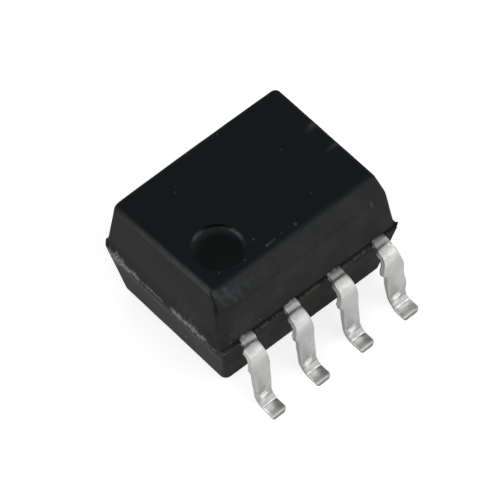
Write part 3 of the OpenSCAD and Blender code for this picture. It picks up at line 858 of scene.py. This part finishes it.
# Matt tin over copper: mottled tone and gloss, painted highlights and painted shade across the strip
def tinMaterial():
    look = tinLook
    material, tree, shader, place = newMaterial("mattTin")
    texture = useGroup(tree, grain, place, look["grain"])
    tone = rangeNode(tree, texture["Tone"], 0.3, 0.7, smooth=True)
    colour = mixColour(tree, tone, look["dull"], look["light"])
    mottle = rangeNode(tree, noiseNode(tree, place, 24000.0, 3.0, 0.6), 0.38, 0.62, 0.45, 1.4)
    # painted highlights, broken up by noise, then painted shade and the darker spots
    rubbed = mathNode(tree, "MULTIPLY", readMark(tree, "lighter"), mottle, clamp=True)
    colour = mixColour(tree, rubbed, colour, look["bright"])
    colour = mixColour(tree, readMark(tree, "darker"), colour, look["grey"])
    sheared = readMark(tree, "sheared")
    colour = mixColour(tree, sheared, colour, look["shear"])
    torn = mathNode(tree, "MULTIPLY", sheared, readMark(tree, "darker"))
    colour = mixColour(tree, torn, colour, look["torn"])
    cut = readMark(tree, "cut")
    smear = noiseNode(tree, place, 9000.0, 3.0, 0.6)
    bare = mathNode(tree, "MULTIPLY", cut, rangeNode(tree, smear, 0.25, 0.5, 0.6), clamp=True)
    colour = mixColour(tree, bare, colour, look["copper"])
    # sheared and torn faces are matt, so they answer less like a mirror
    feed(shader, {"Metallic": rangeNode(tree, sheared, 0.0, 1.0, 1.0, 0.15)})
    rough = rangeNode(tree, texture["Tone"], 0.3, 0.7, look["roughHigh"], look["roughLow"])
    finishShader(tree, shader, colour, rough, texture["Height"], look["bump"])
    return material


# The finishes of the pieces inside: name, two base colours, metallic, roughness
innerFinishes = {
    "emitter_chip": ("emitterCrystal", (0.35, 0.3, 0.22), (0.27, 0.23, 0.17), 0.0, 0.4),
    "sensor_chip": ("siliconChip", (0.1, 0.11, 0.15), (0.07, 0.08, 0.12), 0.2, 0.25),
    "die_adhesive": ("silverAdhesive", (0.55, 0.55, 0.52), (0.4, 0.4, 0.38), 0.3, 0.5),
    "gold_wire": ("goldWire", (0.83, 0.6, 0.22), (0.74, 0.52, 0.18), 1.0, 0.2),
    "clear_gel": ("clearGel", (0.8, 0.82, 0.82), (0.7, 0.73, 0.73), 0.0, 0.15),
}


def innerMaterial(name, first, second, metallic, roughness):
    material, tree, shader, place = newMaterial(name)
    texture = useGroup(tree, grain, place, {"Fine": 30000.0, "Coarse": 5000.0, "Share": 0.6})
    colour = mixColour(tree, rangeNode(tree, texture["Tone"], 0.35, 0.65, smooth=True), first, second)
    feed(shader, {"Metallic": metallic})
    rough = rangeNode(tree, texture["Tone"], 0.3, 0.7, roughness, roughness + 0.15)
    if name == "clearGel":
        feed(shader, {"Transmission Weight": 0.9, "IOR": 1.41})
    finishShader(tree, shader, colour, rough, texture["Height"], 0.001*mm)
    return material


epoxy = epoxyMaterial()
tin = tinMaterial()

moulding = buildMoulding()
moulding.data.materials.append(epoxy)
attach(moulding, rootBody)
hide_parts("moulding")
print("moulding made:", len(moulding.data.polygons), "faces")

for number in leadNumbers:
    lead = buildLead(number)
    lead.data.materials.append(tin)
    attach(lead, rootBody)
    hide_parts("lead_%d" % number)
print("leads made:", len(lead.data.polygons), "faces in the last one")

finishOf = {part["node"]: part["material_slot"] for part in frame["record"]["subparts"]}
innerMaterials = {label: innerMaterial(*finish) for label, finish in innerFinishes.items()}
for name, node in frame["nodes"].items():
    material = innerMaterials.get(finishOf[name])
    if material is not None:
        node.data.materials.clear()
        node.data.materials.append(material)
print("inner pieces finished:", len(innerMaterials), "materials")


stageLook = {
    "floorHalf": 0.6, "floor": (0.86, 0.86, 0.86), "floorRough": 0.9, "glow": 0.67,
    # the room's strength level with the object and straight up
    "level": 0.9, "overhead": 0.1,
}


# 1 for rays that come from the camera, off a shiny piece or through a clear one
def seenDirectly(tree):
    path = tree.nodes.new("ShaderNodeLightPath")
    seen = mathNode(tree, "MAXIMUM", path.outputs["Is Camera Ray"], path.outputs["Is Glossy Ray"])
    return mathNode(tree, "MAXIMUM", seen, path.outputs["Is Transmission Ray"])


def makeFloor():
    mesh = bpy.data.meshes.new("floor")
    reach = stageLook["floorHalf"]
    corners = [(x*reach, y*reach, 0) for x, y in ((-1, -1), (1, -1), (1, 1), (-1, 1))]
    mesh.from_pydata(corners, [], [(0, 1, 2, 3)])
    floor = newObject("floor", mesh)
    material, tree, shader = newMaterial("paleFloor")[:3]
    glow = mathNode(tree, "MULTIPLY", seenDirectly(tree), stageLook["glow"])
    feed(shader, {"Base Color": stageLook["floor"], "Roughness": stageLook["floorRough"],
                  "Specular IOR Level": 0.0, "Emission Strength": glow})
    mesh.materials.append(material)


# The room is pale at the height of the object and dim overhead. What looks at it
# directly or in a reflection finds it white.
def makeRoom():
    world = bpy.data.worlds.new("room")
    bpy.context.scene.world = world
    world.use_nodes = True
    tree = world.node_tree
    background = tree.nodes["Background"]
    direction = tree.nodes.new("ShaderNodeTexCoord").outputs["Generated"]
    split = tree.nodes.new("ShaderNodeSeparateXYZ")
    feed(split, {"Vector": direction})
    level = rangeNode(tree, split.outputs["Z"], 0.0, 1.0, stageLook["level"], stageLook["overhead"])
    seen = seenDirectly(tree)
    strength = tree.nodes.new("ShaderNodeMix")
    strength.data_type = "FLOAT"
    feed(strength, {"Factor": seen, "A": level, "B": 1.0})
    feed(background, {"Color": (1, 1, 1), "Strength": strength.outputs["Result"]})


def makeLamp(name, direction, distance, size, power):
    lamp = bpy.data.lights.new(name, "AREA")
    lamp.shape = "DISK"
    lamp.size = size
    lamp.energy = power
    holder = newObject(name, lamp)
    towards = Vector(direction).normalized()
    holder.location = towards*distance
    holder.rotation_euler = (-towards).to_track_quat("-Z", "Y").to_euler()


# Name, direction it comes from, distance, size and power
lamps = [
    ("keyLamp", (0.4, -0.85, 0.3), 0.12, 0.23, 0.099),
    ("sideLamp", (-0.9, -0.2, 0.22), 0.12, 0.15, 0.06),
]
cameraLook = {
    "azimuth": -40.12, "elevation": 54.82, "roll": -1.52, "distance": 98.67*mm,
    "target": (0, 0, -0.07*mm), "lens": 329.37, "shift": (-0.0044, 0.0614),
}


# The camera looks at its target from an azimuth and elevation, rolled about that line
def makeCamera():
    look = cameraLook
    azimuth, elevation, roll = (math.radians(look[label]) for label in ("azimuth", "elevation", "roll"))
    matrix = Matrix.Rotation(azimuth, 4, "Z") @ Matrix.Rotation(quarterTurn - elevation, 4, "X")
    matrix = matrix @ Matrix.Rotation(roll, 4, "Z")
    matrix.translation = Vector(look["target"]) + matrix.col[2].to_3d()*look["distance"]
    camera = bpy.data.cameras.new("camera")
    camera.lens = look["lens"]
    camera.shift_x, camera.shift_y = look["shift"]
    camera.clip_start = 0.005
    camera.clip_end = 10
    holder = newObject("camera", camera)
    holder.matrix_world = matrix
    bpy.context.scene.camera = holder


makeFloor()
makeRoom()
for lampValues in lamps:
    makeLamp(*lampValues)
makeCamera()
bpy.context.scene.view_settings.view_transform = "Standard"
print("stage made")
